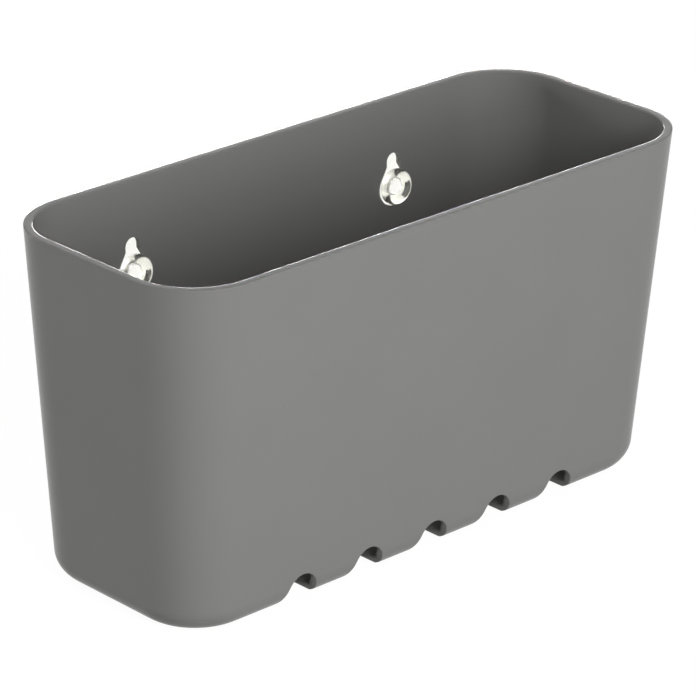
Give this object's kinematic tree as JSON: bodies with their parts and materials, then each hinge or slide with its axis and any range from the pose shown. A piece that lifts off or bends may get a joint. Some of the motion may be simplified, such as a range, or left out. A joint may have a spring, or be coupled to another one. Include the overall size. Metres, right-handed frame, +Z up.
{
  "type": "wall-mounted bath basket",
  "caption": "Moulded plastic bath basket with drafted walls, rounded corners and drain notches, hung on clear suction cups that slide in keyholes in its back wall.",
  "frame": {"origin": "middle of the base's flat underside", "axes": "+X to the right along the wall, +Y from the basket to the wall it hangs on, +Z up"},
  "size_m": [0.24, 0.1091, 0.13],
  "materials": {
    "basket_plastic": "fine satin, as moulded",
    "cup_vinyl": "clear and glossy"
  },
  "bodies": {
    "basket": {"basket": "basket_plastic"},
    "suction_cup_left": {"suction_cup_left": "cup_vinyl"},
    "suction_cup_right": {"suction_cup_right": "cup_vinyl"}
  },
  "joints": [
    {"name": "left_cup_slide", "type": "slide", "parent": "basket", "child": "suction_cup_left", "axis": [0, 0.0308, 0.9995], "range_m": [-0.0043, 0.0095]},
    {"name": "right_cup_slide", "type": "slide", "parent": "basket", "child": "suction_cup_right", "axis": [0, 0.0308, 0.9995], "range_m": [-0.0043, 0.0095]}
  ]
}
